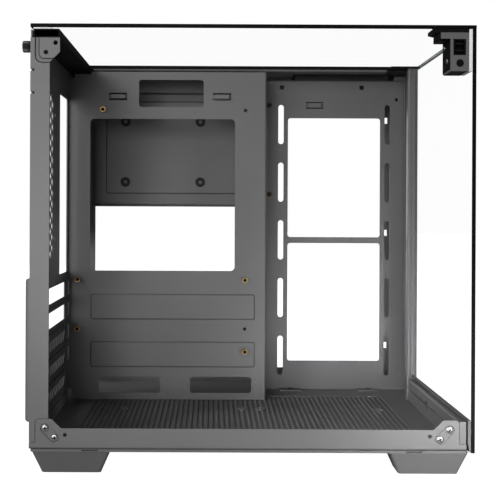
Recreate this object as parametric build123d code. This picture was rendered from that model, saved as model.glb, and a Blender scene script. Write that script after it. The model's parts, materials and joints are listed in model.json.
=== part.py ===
from build123d import *
import os
from math import sqrt

# Mini-tower computer case with two chambers, both side panels off.
# The model is drawn in millimetres from the rear, left, bottom corner: X is the distance ahead
# of the rear wall, Y the depth behind the left side and Z the height above the surface that the
# feet stand on. At the end everything moves so that the origin lies under the middle.

# Whole case
length = 329.1
width = 290.0
height = 333.2
rear_overhang = 10.8
tray_depth = width - 102.0
divide_depth = width - 82.0
bracket_depth = width - 45.0
drive_depth = width - 7.0

# Sheet, glass and fits
sheet = 1.0
bend = 1.6
glass = 3.0
pad = 1.0
clearance = 0.3
screw_shank = 1.5
screw_hole = 1.7

# Base
foot_height = 17.2
cover_height = 2.0
rail_top = 34.5
tab_top = 24.0
front_fold_top = 30.3
rear_fold_high = 9.0
fold_reach = 20.0
fold_inset = 3.0

# Corner lugs, each with two screws in a slanting recess
lug_width = 18.8
lug_top = 41.5
lug_slope = 7.2
lug_round = 3.0
rear_lug = 5.0
front_lug = 11.5
pair_inset = 10.6
pair_height = 30.9
pair_spacing = 10.0
pair_recess = 3.7
recess_deep = 0.6
rail_hole = 1.4
rail_hole_inset = 21.7
rail_hole_height = 29.7

# Rear panel
column_width = 14.3
column_foot = 23.6
column_gap = 3.0
column_top = height - 10.5
face_inset = 0.2
groove = 0.6
vent_cell = 9.2
vent_web = 1.3
vent_depth = 57.0
vent_height = 223.7
vent_across = 98.0
vent_tall = 138.0
vent_corner = 12.0
opening_corner = 2.0
fan_pitch = 105.0
fan_hole = 2.2
io_width = 44.45
io_tall = 158.75
io_height = 218.35
io_near = 136.5
slot_pitch = 20.32
slot_open = 13.5
slot_first = 124.0
slot_count = 5
open_slots = 2
slot_near = 56.0
slot_far = 168.0
cover_wide = 18.42
cover_tip = 6.0
tip_half = 5.0
cover_slits = 9
cover_slit_near = 76.0
cover_slit_pitch = 10.0
cover_slit_long = 12.0
cover_slit_wide = 3.2
shroud_near = 40.0
shroud_far = 68.0
shroud_foot = 30.6
shroud_top = 142.2
shroud_round = 3.0
supply_wide = 80.0
supply_tall = 140.0
supply_foot = 32.0
supply_near = 198.0
supply_tab = 17.0
supply_across = 64.0
supply_high = 138.0
supply_step = 24.0
notch_deep = 3.0
notch_tall = 1.8
notch_heights = (283.0, 299.8)

# Rear top rail and corner bracket
top_rail_from = 2.2
top_rail_to = 21.8
top_rail_high = 6.5
bracket_plate_from = 3.9
bracket_plate_foot = height - 28.5
bracket_pair_height = height - 17.8
plate_step = 0.6
plate_step_long = 2.5
plate_slope = 7.5
plate_round = 4.5

# Motherboard tray
tray_from = 1.0
tray_to = 185.0
tray_top = height - 8.6
tray_flange = 12.0
tray_notch = 5.5
board_column = 10.4
board_across = 154.94
board_row = 131.6
board_tall = 157.48
board_step = 45.72
board_inset = 22.86
boss_row = 65.5
cable_cutouts = (
    (66.2, 126.3, 292.0, 317.2),
    (30.1, 87.0, 26.4, 41.4),
    (114.7, 171.7, 26.4, 41.4),
)
cable_corner = 2.5
standoff_high = 6.35
standoff_flat = 5.0
standoff_bore = 1.35
boss_rise = 1.4
boss_round = 6.6
cpu_from = 21.1
cpu_wide = 134.6
cpu_foot = 139.8
cpu_tall = 141.1
cpu_corner = 4.0
stiffener_feet = (94.4, 50.2)
stiffener_high = 24.0
stiffener_from = 22.0
stiffener_to = 174.9
edge_notch = 0.9
edge_notch_tall = 13.0
tray_ties = (46.7, 143.4)
tray_tie_height = height - 31.5
emboss_high = 1.2
tie_wide = 17.0
tie_tall = 7.0
tie_strap = 3.6
tie_rise = 1.6

# Side fan bracket
bracket_to = length - 6.1
bracket_top = height - 7.9
bracket_screw_at = 190.9
bracket_screw_heights = (212.3, 300.2)
bracket_foot_screws = (212.3, 288.4)
bracket_foot_reach = 12.0
bracket_foot_wide = 20.0
bracket_fold = 9.0
bracket_tie = (235.4, 300.4)
hook_places = (203.2, 281.9)
hook_height = height - 15.2
hook_hole = 4.2
post_hole_inset = 6.5
post_hole_heights = (height - 26.9, 40.9)
foot_screw_inset = 5.0
window_from = 209.3
window_wide = 91.0
fan_windows = ((48.2, 164.4), (170.3, 287.7))
fan_slot_first = 202.4
fan_slot_wide = 5.4
fan_slot_tall = 38.8
fan_slot_foot = 34.0
fan_slot_pitch = 57.0
fan_slot_count = 5

# Front
post_from = length - 12.5
post_depth = tray_depth + 2.0
post_lip = 6.0
post_flange = 12.0
post_slot = (28.4, 43.8)
bead_at = 5.2
bead_gap = 7.0
bead_wide = 3.9
bead_high = 1.2
rail_from = length - 10.9
rail_wide = 4.6
rail_high = 40.2
clip_foot = 28.0
clip_tall = 6.6
clip_depth = 108.0
clip_wide = 5.0
strip_wide = 2.2
strip_top = 41.4
block_from = length - 19.4
block_to = length - 5.5
block_foot = height - 34.0
block_top = height - 5.5
block_deep = 24.0
plate_from = length - 32.4
plate_deep = 30.0
far_plate_from = length - 29.1
far_plate_near = tray_depth - 4.0
socket_from = length - 17.2
socket_to = length - 7.9
socket_foot = height - 22.2
socket_top = height - 10.2
socket_deep = 9.0
block_bore = 2.9
block_bore_place = (length - 12.1, height - 28.0)
block_arm = 7.1
block_arm_high = 4.6
block_wall = 2.0
block_screw_places = ((18.9, 319.0), (9.6, 307.8))

# Floor vent
floor_vent_from = 27.4
floor_vent_to = length - 32.3
floor_vent_near = 18.0
floor_vent_far = divide_depth
floor_slot_pitch = 4.46
floor_slot_wide = 3.1
floor_web_depth = 60.0
floor_web = 4.0
floor_fans = (110.25, 230.25)
floor_fan_depth = 94.5
floor_boss = 4.8
floor_boss_high = 0.6

# Dust filter and its cover
floor_margin = 1.0
filter_margin = 3.0
filter_ledge = 3.0
filter_thick = 0.8
cover_round = 2.0
grip_inset = 45.0
grip_wide = 12.0
grip_deep = 2.5
grip_foot = 17.8
grip_top = 18.8

# Feet
foot_long = 58.6
foot_wide = 32.0
foot_rise_in = 7.6
foot_inset_rear = 1.4
foot_inset_front = 4.1
foot_inset_side = 2.0
foot_round = 2.4
foot_pad_high = 1.4
foot_pad_margin = 3.0

# Rear chamber
chamber_column = 18.3
chamber_slots = (58.2, 173.9, height - 43.6)
lock_half = 3.1

# Drive plate
drive_to = 178.0
drive_foot = 201.0
drive_top = height - 17.2
drive_across = 76.6
drive_tall = 61.72
drive_first = 45.75
drive_row = 225.1
grommet_round = 4.9
grommet_bore = 1.9
drive_screws = (50.0, 142.0)
hook_mark = (154.6, 220.7)

# Controls in the top of the rear chamber
controls_from = 216.0
controls_to = length - 17.1
controls_near = width - 32.0
controls_far = width - 6.0
controls_deep = 18.0
power_round = 5.2
power_at = length - 27.1
reset_round = 2.4
reset_at = length - 41.1
button_gap = 0.4
button_travel = 1.0
usb_wide = 13.1
usb_deep = 5.7
usb_wall = 0.4
usb_places = (238.0, 256.0)
usb_c_at = 273.5
usb_c_wide = 9.0
usb_c_deep = 3.3
jack_at = 224.0
jack_round = 3.2
jack_bore = 1.75
button_deep = 9.0
socket_room = 12.0

# Screw heads
corner_head = 2.8
corner_head_high = 0.9
thumb_round = 4.35
thumb_long = 6.8
thumb_depth = 7.0
thumb_height = height - 16.3

# Places that follow from the sizes
glass_under = height - glass
pan_under = foot_height + cover_height
floor = pan_under + sheet
front_inside = length - glass
roof_under = height - sheet
controls_middle = (controls_near + controls_far) / 2
top_rail_top = glass_under - pad
glass_depth = divide_depth - 0.5
glass_foot = foot_height + 0.2
wall_top = top_rail_top - clearance
tab_end = rail_from + rail_wide
bracket_from = tray_to + bend + clearance
drive_from = column_width + clearance
shelf_out = rear_overhang - 2 * sheet - 0.2


# Drawing helpers

def span(x, y, z):
    """A block between two values on each axis."""
    middle = Pos((x[0] + x[1]) / 2, (y[0] + y[1]) / 2, (z[0] + z[1]) / 2)
    return middle * Box(x[1] - x[0], y[1] - y[0], z[1] - z[0])


def drawn(plane, shapes, reach):
    """One or more sketches, each drawn out from a plane by itself."""
    if isinstance(shapes, list):
        return [extrude(plane * shape, reach) for shape in shapes]
    return extrude(plane * shapes, reach)


def across_depth(shapes, near, far):
    """Sketches in X and Z, drawn out from one depth to another."""
    return drawn(Plane.XZ.offset(-far), shapes, far - near)


def across_length(shapes, rear, front):
    """Sketches in Y and Z, drawn out from one distance ahead of the rear wall to another."""
    return drawn(Plane.YZ.offset(rear), shapes, front - rear)


def upwards(shapes, foot, top):
    """Sketches in X and Y, drawn out from one height to another."""
    return drawn(Plane.XY.offset(foot), shapes, top - foot)


def folded(points, side=Side.LEFT):
    """The section of a sheet whose seen face follows points and whose thickness lies to a side."""
    path = FilletPolyline(*points, radius=bend)
    return make_face(offset(path, sheet, side=side).edges())


def outline(*points):
    """A face with straight edges through points."""
    return make_face(Polyline(*points, close=True))


def window(x_from, x_to, z_from, z_to, corner):
    """A round-cornered opening between two distances and two heights."""
    middle = Pos((x_from + x_to) / 2, (z_from + z_to) / 2)
    return middle * RectangleRounded(x_to - x_from, z_to - z_from, corner)


def perforated(plate, holes):
    """A flat plate sketch with many holes that don't touch each other or its edge."""
    return Face(plate.wire(), [hole.wire() for hole in holes])


def along_y(radius, x, z, near, far):
    """A round bar that runs in depth."""
    return across_depth(Pos(x, z) * Circle(radius), near, far)


def along_z(radius, x, y, foot, top):
    """A round bar that stands up."""
    return upwards(Pos(x, y) * Circle(radius), foot, top)


def mirrored_right(part):
    """The same piece on the right side of the case."""
    return mirror(part, about=Plane.XZ.offset(-width / 2))


def headed_screw(head, head_high, shank_long):
    """A screw whose head stands on the XY plane and whose shank points down."""
    half = outline(
        (0, head_high),
        (head * 0.75, head_high),
        (head, head_high * 0.4),
        (head, 0),
        (screw_shank, 0),
        (screw_shank, -shank_long),
        (0, -shank_long),
    )
    return revolve(Plane.XZ * half, Axis.Z)


def facing_left(part, x, depth, z):
    """Turns a screw so that its head looks out of the left side."""
    return Pos(x, depth, z) * Rot(90, 0, 0) * part


def pair_places(x, z, slant):
    """The two screw places of a corner, on a line that slants up or down."""
    half = pair_spacing / 2 / sqrt(2)
    return [(x - half, z - half * slant), (x + half, z + half * slant)]


def pair_slot(x, z, slant):
    """The slanting recess around the two screws of a corner."""
    slot = SlotOverall(pair_spacing + 2 * pair_recess, 2 * pair_recess)
    return Pos(x, z) * Rot(0, 0, 45 * slant) * slot


# Corners: distance of each pair ahead of the rear wall, its height and its slant
rear_pair = rear_lug + pair_inset
front_pair = length - front_lug - pair_inset
low_corners = [(rear_pair, pair_height, -1), (front_pair, pair_height, 1)]
top_corner = (rear_pair - 0.6, bracket_pair_height, 1)


# Base

def side_outline():
    """The long rail of the pan with a lug at each end, seen from the left."""
    rear_peak = rear_lug + lug_width - lug_slope
    front_edge = length - front_lug
    front_peak = front_edge - lug_width + lug_slope
    shape = outline(
        (0, pan_under),
        (0, tab_top),
        (rear_lug, tab_top),
        (rear_lug, lug_top),
        (rear_peak, lug_top),
        (rear_peak + lug_slope, rail_top),
        (front_peak - lug_slope, rail_top),
        (front_peak, lug_top),
        (front_edge, lug_top),
        (front_edge, tab_top),
        (tab_end, tab_top),
        (tab_end, pan_under),
    )
    return fillet(shape.vertices().sort_by(Axis.Y)[-4:], lug_round)


def vent_outline(margin, corner):
    """The rectangle of the floor's vent with a margin around it."""
    middle = Pos((floor_vent_from + floor_vent_to) / 2, (floor_vent_near + floor_vent_far) / 2)
    long = floor_vent_to - floor_vent_from + 2 * margin
    deep = floor_vent_far - floor_vent_near + 2 * margin
    return middle * RectangleRounded(long, deep, corner)


def floor_slots():
    """Long slots that run in depth, in two lengths with a web between."""
    count = int((floor_vent_to - floor_vent_from) / floor_slot_pitch)
    middle = (floor_vent_from + floor_vent_to) / 2
    first = middle - (count - 1) / 2 * floor_slot_pitch
    lengths = [
        (floor_vent_near, floor_web_depth - floor_web / 2),
        (floor_web_depth + floor_web / 2, floor_vent_far),
    ]
    return [
        Pos(first + step * floor_slot_pitch, (near + far) / 2)
        * Rectangle(floor_slot_wide, far - near)
        for near, far in lengths
        for step in range(count)
    ]


def floor_fan_places():
    half = fan_pitch / 2
    return [
        (x + side, floor_fan_depth + depth)
        for x in floor_fans
        for side in (-half, half)
        for depth in (-half, half)
    ]


def make_base_pan():
    section = folded(
        [(0, lug_top), (0, pan_under), (width, pan_under), (width, lug_top)],
    )
    pan = across_length(section, 0, length)
    pan &= across_depth(side_outline(), 0, width)
    wall_room = span((-1, sheet), (sheet, width - sheet), (pan_under - 1, lug_top))
    front_room = span((rail_from + sheet, length), (sheet, post_depth), (pan_under - 1, lug_top))
    pan -= [wall_room, front_room]
    chamber_floor = (divide_depth, width - 2 * sheet)
    pan += span((tab_end - 1, length - sheet), chamber_floor, (pan_under, floor))
    rear_fold = folded([(sheet, floor + rear_fold_high), (sheet, pan_under), (fold_reach, pan_under)])
    front_fold = folded(
        [(rail_from + sheet - fold_reach, pan_under), (rail_from + sheet, pan_under),
         (rail_from + sheet, front_fold_top)],
    )
    inset = sheet + fold_inset
    pan += across_depth(rear_fold, inset, width - inset)
    pan += across_depth(front_fold, inset, post_depth - clearance)
    holes = []
    for x, z, slant in low_corners:
        slot = pair_slot(x, z, slant)
        pan -= extrude(Plane.XZ * slot, -recess_deep, taper=45)
        pan -= extrude(Plane.XZ.offset(-width) * slot, recess_deep, taper=45)
        for px, pz in pair_places(x, z, slant):
            holes.append(along_y(screw_hole, px, pz, -1, width + 1))
    for x in (rear_lug + rail_hole_inset, length - front_lug - rail_hole_inset):
        holes.append(along_y(rail_hole, x, rail_hole_height, -1, width + 1))
    for x in bracket_foot_screws:
        holes.append(along_z(screw_hole, x, bracket_depth - foot_screw_inset, 0, floor + 1))
    field = vent_outline(floor_margin, 0.5)
    holes.append(upwards(field, 0, floor + 1))
    return pan - holes + make_floor_grille(field)


def make_floor_grille(field):
    """The slotted middle of the floor with its raised fan screw bosses."""
    grille = upwards(perforated(field, floor_slots()), pan_under, floor)
    places = floor_fan_places()
    bosses = [along_z(floor_boss, x, y, pan_under, floor + floor_boss_high) for x, y in places]
    holes = [along_z(fan_hole, x, y, 0, floor + 2) for x, y in places]
    return grille + bosses - holes


def make_bottom_cover():
    """Moulded frame under the pan, with one large window for the dust filter."""
    cover = span((sheet, front_inside - strip_wide), (0, width), (foot_height, pan_under))
    cover = fillet(cover.edges().filter_by(Axis.Z), cover_round)
    opening = vent_outline(filter_margin, cover_round)
    ledge = vent_outline(filter_margin + filter_ledge, cover_round)
    cover -= upwards(opening, foot_height - 1, pan_under + 1)
    cover -= upwards(ledge, pan_under - filter_thick, pan_under + 1)
    half = grip_wide / 2
    for x in (grip_inset, length - grip_inset):
        cover -= span((x - half, x + half), (-1, grip_deep), (grip_foot, grip_top))
    return cover


def make_filter_mesh():
    """Fine mesh that lies on the cover's ledge, against the pan."""
    shape = vent_outline(filter_margin + filter_ledge - clearance, cover_round)
    return upwards(shape, pan_under - filter_thick, pan_under)


def make_foot(x_from, near):
    """A foot that tapers towards the ground on every side, with a pocket for its pad."""
    top = Pos(x_from + foot_long / 2, near + foot_wide / 2)
    slope = foot_rise_in / foot_height
    base = Plane.XY.offset(foot_height) * top * RectangleRounded(foot_long, foot_wide, foot_round)
    tread = foot_pad_high / 2
    low_long = foot_long - 2 * slope * (foot_height - tread)
    low_wide = foot_wide - slope * (foot_height - tread)
    foot = loft([
        base,
        Plane.XY.offset(tread) * top * RectangleRounded(low_long, low_wide, foot_round),
    ])
    pocket = top * RectangleRounded(
        low_long - 2 * foot_pad_margin, low_wide - 2 * foot_pad_margin, foot_round
    )
    foot -= upwards(pocket, 0, foot_pad_high)
    pad_shape = top * RectangleRounded(
        low_long - 2 * foot_pad_margin - clearance,
        low_wide - 2 * foot_pad_margin - clearance,
        foot_round,
    )
    return foot, upwards(pad_shape, 0, foot_pad_high)


# Rear

def honeycomb(field):
    """Six-sided holes in offset columns, as many whole ones as the field holds."""
    hole = RegularPolygon((vent_cell - vent_web) / 2, 6, major_radius=False)
    inner = offset(field, -vent_cell / 2).face()
    column_step = vent_cell * sqrt(3) / 2
    columns = int(vent_across / column_step) + 2
    rows = int(vent_tall / vent_cell) + 2
    holes = []
    for column in range(-columns // 2, columns // 2 + 1):
        for row in range(-rows // 2, rows // 2 + 1):
            y = vent_depth + column * column_step
            z = vent_height + (row + (column % 2) / 2) * vent_cell
            if inner.is_inside((y, z, 0)):
                holes.append(Pos(y, z) * hole)
    return holes


def slot_height(number):
    return slot_first - number * slot_pitch


def make_rear_panel():
    """Rear wall folded into a column at each side, with every opening a rear wall needs."""
    section = folded([
        (column_width, sheet), (0, sheet), (0, width - sheet), (column_width, width - sheet),
    ], side=Side.RIGHT)
    panel = upwards(section, pan_under, column_top) + make_slot_shelf()
    panel += span((0, sheet), (2 * sheet, width - 2 * sheet), (column_top - 1, wall_top))
    panel += make_column_face()
    half = fan_pitch / 2
    middle = vent_depth
    fan_places = [
        (middle + y, vent_height + z) for y in (-half, half) for z in (-half, half)
    ]
    thumb_places = [(y, thumb_height) for y in (thumb_depth, width - thumb_depth)]
    field = Pos(middle, vent_height) * RectangleRounded(vent_across, vent_tall, vent_corner)
    io_opening = Pos(io_near + io_width / 2, io_height) * RectangleRounded(io_width, io_tall, opening_corner)
    supply = window(
        supply_near, supply_near + supply_wide, supply_foot, supply_foot + supply_tall,
        opening_corner,
    )
    supply -= [Pos(y, z) * Rectangle(supply_tab, supply_tab) for y, z in supply_holes()]
    openings = [field, io_opening, supply]
    openings += [Pos(y, z) * Circle(fan_hole) for y, z in fan_places + supply_holes()]
    openings += [Pos(y, z) * Circle(screw_hole) for y, z in thumb_places]
    openings += [
        Pos((slot_near + slot_far) / 2, slot_height(number))
        * Rectangle(slot_far - slot_near, slot_open)
        for number in range(slot_count)
    ]
    cuts = across_length(openings, 0, sheet + 1)
    for near, far in ((0, column_gap), (width - column_gap, width)):
        cuts.append(span((-1, column_width + 1), (near, far), (pan_under - 1, column_foot)))
        for z in notch_heights:
            cuts.append(span((-1, notch_deep), (near, far + sheet), (z - notch_tall, z)))
    for x, z, slant in low_corners[:1] + [top_corner]:
        for px, pz in pair_places(x, z, slant):
            cuts.append(along_y(screw_hole, px, pz, -1, width + 1))
    return panel - cuts + across_length(perforated(field, honeycomb(field)), 0, sheet)


def corner_plate_outline(inset):
    """The plate over the column's top, seen from the left: the inset narrows it to its step."""
    rear = bracket_plate_from + inset
    foot = bracket_plate_foot + inset
    front = top_rail_to
    top = top_rail_top - top_rail_high
    shape = outline(
        (rear, foot), (front - plate_slope + inset, foot), (front, bracket_plate_foot + plate_slope),
        (front, top), (rear, top),
    )
    return fillet(shape.vertices().sort_by(Axis.X)[:2].sort_by(Axis.Y)[:1], plate_round)


def make_column_face():
    """Raised face of the left column, with a narrow groove around each plate that sits in it."""
    face = Pos(column_width / 2, (column_foot + column_top) / 2)
    face *= Rectangle(column_width, column_top - column_foot)
    face -= [offset(side_outline(), groove), offset(corner_plate_outline(0), groove)]
    return across_depth(face, face_inset, sheet)


def supply_holes():
    """Screw places of a standard power supply stood on its side: one lies 24 mm further in."""
    near = supply_near + (supply_wide - supply_across) / 2
    far = near + supply_across
    foot = supply_foot + (supply_tall - supply_high) / 2
    top = foot + supply_high
    return [(near, foot), (near, top), (far, top), (far, foot + supply_step)]


def make_slot_shelf():
    """Ledge behind the wall that the slot covers' tabs are screwed to."""
    foot = slot_height(slot_count - 1) - slot_pitch / 2
    top = slot_height(0) + slot_pitch / 2
    near = slot_near + clearance + sheet
    shelf = span((-shelf_out, sheet / 2), (near, near + sheet), (foot, top))
    for number in range(slot_count):
        shelf -= along_y(screw_hole, -shelf_out / 2, slot_height(number), near - 1, near + 2)
    return shelf


def make_slot_cover(number):
    """Vented blanking plate, its tab turned out through the wall on to the shelf."""
    z = slot_height(number)
    half = cover_wide / 2
    reach = slot_far + cover_tip
    near = slot_near + clearance
    section = folded([(-shelf_out, near), (2 * sheet, near), (2 * sheet, reach)])
    cover = upwards(section, z - half, z + half)
    neck = slot_open / 2 - clearance
    for foot, top in ((z - half - 1, z - neck), (z + neck, z + half + 1)):
        cover -= span((-rear_overhang, sheet), (near - 1, near + 2), (foot, top))
    tip = [
        outline((reach + 1, z + side * (half + 1)), (reach - 8, z + side * (half + 1)),
                (reach - 4, z + side * tip_half), (reach + 1, z + side * tip_half))
        for side in (-1, 1)
    ]
    cover -= across_length(tip, 0, 3 * sheet)
    vents = [
        Pos(cover_slit_near + step * cover_slit_pitch, z) * Rot(0, 0, 45)
        * SlotOverall(cover_slit_long, cover_slit_wide)
        for step in range(cover_slits)
    ]
    cover -= across_length(vents, 0, 3 * sheet)
    return cover - along_y(screw_hole, -shelf_out / 2, z, near - 1, near + 2)


def make_slot_shroud():
    """Round-cornered cap outside the wall, over the slot screws."""
    cap = span((-rear_overhang, 0), (shroud_near, shroud_far), (shroud_foot, shroud_top))
    cap = fillet(cap.faces().sort_by(Axis.X)[0].edges(), shroud_round)
    depths = (shroud_near + sheet, shroud_far - sheet)
    return cap - span((sheet - rear_overhang, 1), depths, (shroud_foot + sheet, shroud_top - sheet))


def make_rear_top_rail():
    """Closed rail under the rear edge of the top glass, hollow as a folded tube."""
    top = top_rail_top
    rail = span((top_rail_from, top_rail_to), (0, width - sheet), (top - top_rail_high, top))
    rail = fillet(rail.edges().filter_by(Axis.Y), sheet)
    lengths = (top_rail_from + sheet, top_rail_to - sheet)
    return rail - span(lengths, (-1, width), (top - top_rail_high + sheet, top - sheet))


def make_corner_bracket():
    """Stepped plate over the top of the column, with two open screw holes."""
    x, z, slant = top_corner
    plate = across_depth(corner_plate_outline(0), plate_step, sheet)
    plate += across_depth(corner_plate_outline(plate_step_long), 0, sheet)
    for px, pz in pair_places(x, z, slant):
        plate -= along_y(screw_hole, px, pz, -1, sheet + 1)
    return plate


# Motherboard tray

def board_places():
    """Standoff places, standard for this size of board: the last one stands on a raised boss."""
    front = board_column + board_across
    return [
        (board_column + board_inset, board_row + board_tall),
        (board_column, board_row),
        (front, board_row),
        (board_column, board_row - board_step),
        (front, boss_row),
    ]


def tie_bridge(x, z, face, tall):
    """Window for a cable tie and the strap that stands out across it."""
    cut = across_depth(Pos(x, z) * Rectangle(tie_wide, tall), face - 1, face + sheet + 1)
    half = tie_wide / 2
    slope = tie_rise + 0.4
    strap = Polyline(
        (x - half, face + sheet), (x - half, face), (x - half + slope, face - tie_rise),
        (x + half - slope, face - tie_rise), (x + half, face), (x + half, face + sheet),
        (x + half - slope, face - tie_rise + sheet), (x - half + slope, face - tie_rise + sheet),
        close=True,
    )
    return cut, upwards(make_face(strap), z - tie_strap / 2, z + tie_strap / 2)


def pressed(part, shape, face):
    """Presses a shape out of a sheet towards the left: proud in front, hollow behind."""
    deep = across_depth(offset(shape, -emboss_high), face + sheet - emboss_high, face + sheet)
    proud = extrude(Plane.XZ.offset(-face) * shape, emboss_high, taper=45)
    return part + proud - deep


def make_tray():
    face = tray_depth
    section = folded([
        (tray_from, face), (tray_to, face), (tray_to, bracket_depth + sheet),
        (tray_to + tray_flange, bracket_depth + sheet),
    ])
    tray = upwards(section, floor, tray_top)
    openings = [
        window(cpu_from, cpu_from + cpu_wide, cpu_foot, cpu_foot + cpu_tall, cpu_corner),
    ]
    openings += [window(*sides, cable_corner) for sides in cable_cutouts]
    tray -= across_depth(openings, face - 1, face + 2)
    for foot in stiffener_feet:
        shape = window(stiffener_from, stiffener_to, foot, foot + stiffener_high, cable_corner)
        tray = pressed(tray, shape, face)
    for number in range(slot_count - 1):
        z = slot_height(number)
        heights = (z - edge_notch_tall / 2, z + edge_notch_tall / 2)
        tray -= span((0, tray_from + edge_notch), (face - 1, face + 2), heights)
    corners = [
        outline((0, tray_top + 1), (0, tray_top - 9.5), (tray_from + tray_notch, tray_top - 5.5),
                (tray_from + tray_notch, tray_top + 1)),
        outline((0, floor - 1), (0, floor + 12), (tray_from + 4, floor + 9),
                (tray_from + tray_notch, floor - 1)),
    ]
    tray -= across_depth(corners, face - 1, face + 2)
    rail_room = (column_top - clearance, tray_top + 1)
    tray -= span((0, top_rail_to + clearance), (face - 1, face + 2), rail_room)
    for x in tray_ties:
        cut, strap = tie_bridge(x, tray_tie_height, face, tie_tall)
        tray = tray - cut + strap
    boss_x, boss_z = board_places()[-1]
    tray += Pos(boss_x, face, boss_z) * Rot(90, 0, 0) * Cone(
        boss_round, boss_round - 1, boss_rise, align=(Align.CENTER, Align.CENTER, Align.MIN)
    )
    for x, z in board_places():
        tray -= along_y(screw_hole, x, z, face - 3, face + 2)
    front = board_column + board_across
    for z in (board_row + board_tall, board_row - board_step):
        tray -= along_y(screw_hole, front, z, face - 1, face + 2)
    for z in bracket_screw_heights:
        tray -= along_y(screw_hole, bracket_screw_at, z, face + 2, bracket_depth + 3)
    return tray


def make_standoffs():
    """Six-sided brass pillars with a threaded hole and a stub through the tray."""
    group = []
    for index, (x, z) in enumerate(board_places()):
        face = tray_depth
        if index == len(board_places()) - 1:
            face -= boss_rise
        body = RegularPolygon(standoff_flat / 2, 6, major_radius=False)
        pillar = across_depth(Pos(x, z) * body, face - standoff_high, face)
        pillar += along_y(screw_shank, x, z, face - 0.1, tray_depth + sheet + 1)
        pillar -= along_y(standoff_bore, x, z, face - standoff_high - 1, face - 1)
        group.append(pillar)
    return Compound(children=group)


# Side fan bracket

def fan_slot_heights():
    return [fan_slot_foot + step * fan_slot_pitch for step in range(fan_slot_count)]


def make_fan_bracket():
    face = bracket_depth
    section = folded([
        (face + bracket_fold, bracket_top), (face, bracket_top), (face, floor),
    ])
    plate = across_length(section, bracket_from, bracket_to)
    fold = (face + sheet, face + bracket_fold + 1)
    for x in ((0, tray_to + tray_flange + 1), (front_inside - post_flange - 1, length)):
        plate -= span(x, fold, (bracket_top - 2, bracket_top + 1))
    openings = [
        window(window_from, window_from + window_wide, foot, top, cable_corner)
        for foot, top in fan_windows
    ]
    for x in hook_places:
        openings.append(Pos(x, hook_height) * Rectangle(hook_hole, hook_hole))
    for x in (fan_slot_first, fan_slot_first + fan_pitch):
        for foot in fan_slot_heights():
            tall = fan_slot_tall
            slot = Rot(0, 0, 90) * SlotOverall(tall, fan_slot_wide)
            openings.append(Pos(x, foot + tall / 2) * slot)
    for z in post_hole_heights:
        openings.append(Pos(bracket_to - post_hole_inset, z) * Circle(screw_hole))
    for z in bracket_screw_heights:
        openings.append(Pos(bracket_screw_at, z) * Circle(screw_hole))
    plate -= across_depth(openings, face - 1, face + 2)
    cut, strap = tie_bridge(*bracket_tie, face, tie_strap - 2 * clearance)
    plate = plate - cut + strap
    for x in bracket_foot_screws:
        reach = (face - bracket_foot_reach, face + sheet / 2)
        half = bracket_foot_wide / 2
        tab = span((x - half, x + half), reach, (floor, floor + sheet))
        plate += tab - along_z(screw_hole, x, face - foot_screw_inset, floor - 1, floor + 2)
    return plate


# Front

def make_front_post():
    right = front_inside
    section = folded([
        (post_from, post_depth + post_lip), (post_from, post_depth), (right, post_depth),
        (right, bracket_depth + 2 * sheet), (right - post_flange, bracket_depth + 2 * sheet),
    ])
    top = glass_under - pad
    post = upwards(section, floor, top)
    middle = post_from + bead_at
    bead = Pos(middle, post_depth) * Circle(bead_wide / 2)
    bead &= Pos(middle, post_depth - bead_high / 2) * Rectangle(bead_wide, bead_high)
    post += upwards(bead, rail_high, top - bead_gap)
    slot = (post_depth - bead_wide, post_depth + 2 * sheet)
    post -= span((middle - 0.2, middle + 1.2), slot, post_slot)
    for z in post_hole_heights:
        x = bracket_to - post_hole_inset
        post -= along_y(screw_hole, x, z, bracket_depth, bracket_depth + 3)
    return post


def make_front_bottom_rail():
    right = rail_from + rail_wide
    section = folded([
        (rail_from, front_fold_top + 0.9), (rail_from, rail_high), (right, rail_high),
        (right, pan_under), (rail_from + 1.4, pan_under),
    ], side=Side.RIGHT)
    rail = across_depth(section, sheet + clearance, post_depth)
    end = ((rail_from, right), (sheet + clearance, 2 * sheet + clearance), (tab_top, rail_high))
    return rail + span(*end)


def make_rail_clip():
    """Spring clip that spans the seam between rail and pan."""
    x = rail_from
    foot, top = clip_foot, clip_foot + clip_tall
    clip = outline((x, foot), (x - sheet, foot + 0.6), (x - sheet, top - 0.6), (x, top))
    return across_depth(clip, clip_depth, clip_depth + clip_wide)


def make_lower_strip():
    """Strip bonded behind the foot of the front glass, tapered at its lower end."""
    right = front_inside
    shape = outline(
        (right - strip_wide, strip_top), (right, strip_top), (right, foot_height + 1),
        (right - strip_wide / 2, foot_height + 1), (right - strip_wide, tab_top + 2),
    )
    return across_depth(shape, 0, post_depth - clearance)


def make_front_glass():
    return span((front_inside, length), (0, glass_depth), (glass_foot, glass_under))


def make_top_glass():
    return span((0, length), (0, glass_depth), (glass_under, height))


def make_corner_block():
    """Block that ties the two glass panels and holds the side panel's snap socket."""
    body = span((block_from, block_to), (0, block_deep), (block_foot, block_top))
    body = fillet(body.edges().filter_by(Axis.Y), 1.0)
    arm = (block_from - block_arm, block_from + 1)
    body += span(arm, (0, block_deep), (block_top - block_arm_high, block_top))
    body -= span((socket_from, socket_to), (-1, socket_deep), (socket_foot, socket_top))
    body -= along_y(block_bore, *block_bore_place, -1, socket_deep)
    wall = block_wall
    hollow = window(block_from + wall, block_to - wall, block_foot + wall, block_top - wall, 1)
    body -= across_depth(hollow, socket_deep + wall, block_deep + 1)
    for depth, z in block_screw_places:
        body -= across_length(Pos(depth, z) * Circle(screw_hole), block_from - 1, block_from + 2)
    return body


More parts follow.
